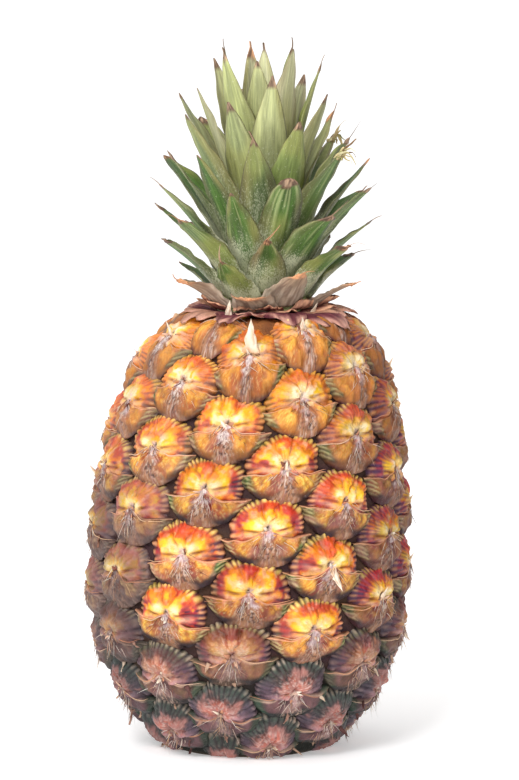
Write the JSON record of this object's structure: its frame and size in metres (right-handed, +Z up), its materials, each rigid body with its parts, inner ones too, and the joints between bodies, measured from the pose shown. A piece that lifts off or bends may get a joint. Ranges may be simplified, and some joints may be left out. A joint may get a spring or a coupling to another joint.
{
  "type": "pineapple",
  "caption": "Whole pineapple standing on its base: a barrel-shaped fruit with a rind of spiral eyes, and a crown of stiff pointed leaves on top.",
  "frame": {"origin": "middle of the flat spot that the fruit stands on, on the end of the cut stalk", "axes": "+Z up through the fruit to the crown; -Y towards the side seen from the front; +X the way the fruit leans over slightly"},
  "size_m": [0.11, 0.1099, 0.2435],
  "materials": {
    "rind": "satin",
    "stalk": "matte",
    "stem": "matte",
    "leaf": "satin",
    "dry_leaf": "matte"
  },
  "bodies": {
    "root": {"fruit": "rind", "cut_stalk": "stalk", "crown_stem": "stem", "leaf_01": "dry_leaf", "leaf_02": "dry_leaf", "leaf_03": "dry_leaf", "leaf_04": "dry_leaf", "leaf_05": "dry_leaf", "leaf_06": "dry_leaf", "leaf_07": "leaf", "leaf_08": "leaf", "leaf_09": "leaf", "leaf_10": "leaf", "leaf_11": "leaf", "leaf_12": "leaf", "leaf_13": "leaf", "leaf_14": "leaf", "leaf_15": "leaf", "leaf_16": "leaf", "leaf_17": "leaf", "leaf_18": "leaf", "leaf_19": "leaf", "leaf_20": "leaf", "leaf_21": "leaf", "leaf_22": "leaf", "leaf_23": "leaf", "leaf_24": "leaf", "leaf_25": "leaf", "leaf_26": "leaf", "leaf_27": "leaf", "leaf_28": "leaf", "leaf_29": "leaf", "leaf_30": "leaf", "leaf_31": "leaf", "leaf_32": "leaf", "leaf_33": "leaf", "leaf_34": "leaf", "leaf_35": "leaf", "leaf_36": "leaf", "leaf_37": "leaf", "leaf_38": "leaf", "leaf_39": "leaf", "leaf_40": "leaf", "leaf_41": "leaf", "leaf_42": "leaf", "leaf_43": "leaf", "leaf_44": "leaf", "leaf_45": "leaf", "leaf_46": "leaf", "leaf_47": "leaf", "leaf_48": "leaf", "leaf_49": "leaf", "leaf_50": "leaf", "leaf_51": "leaf", "leaf_52": "leaf", "leaf_53": "leaf", "leaf_54": "leaf", "leaf_55": "leaf", "leaf_56": "leaf", "leaf_57": "leaf"}
  },
  "joints": []
}
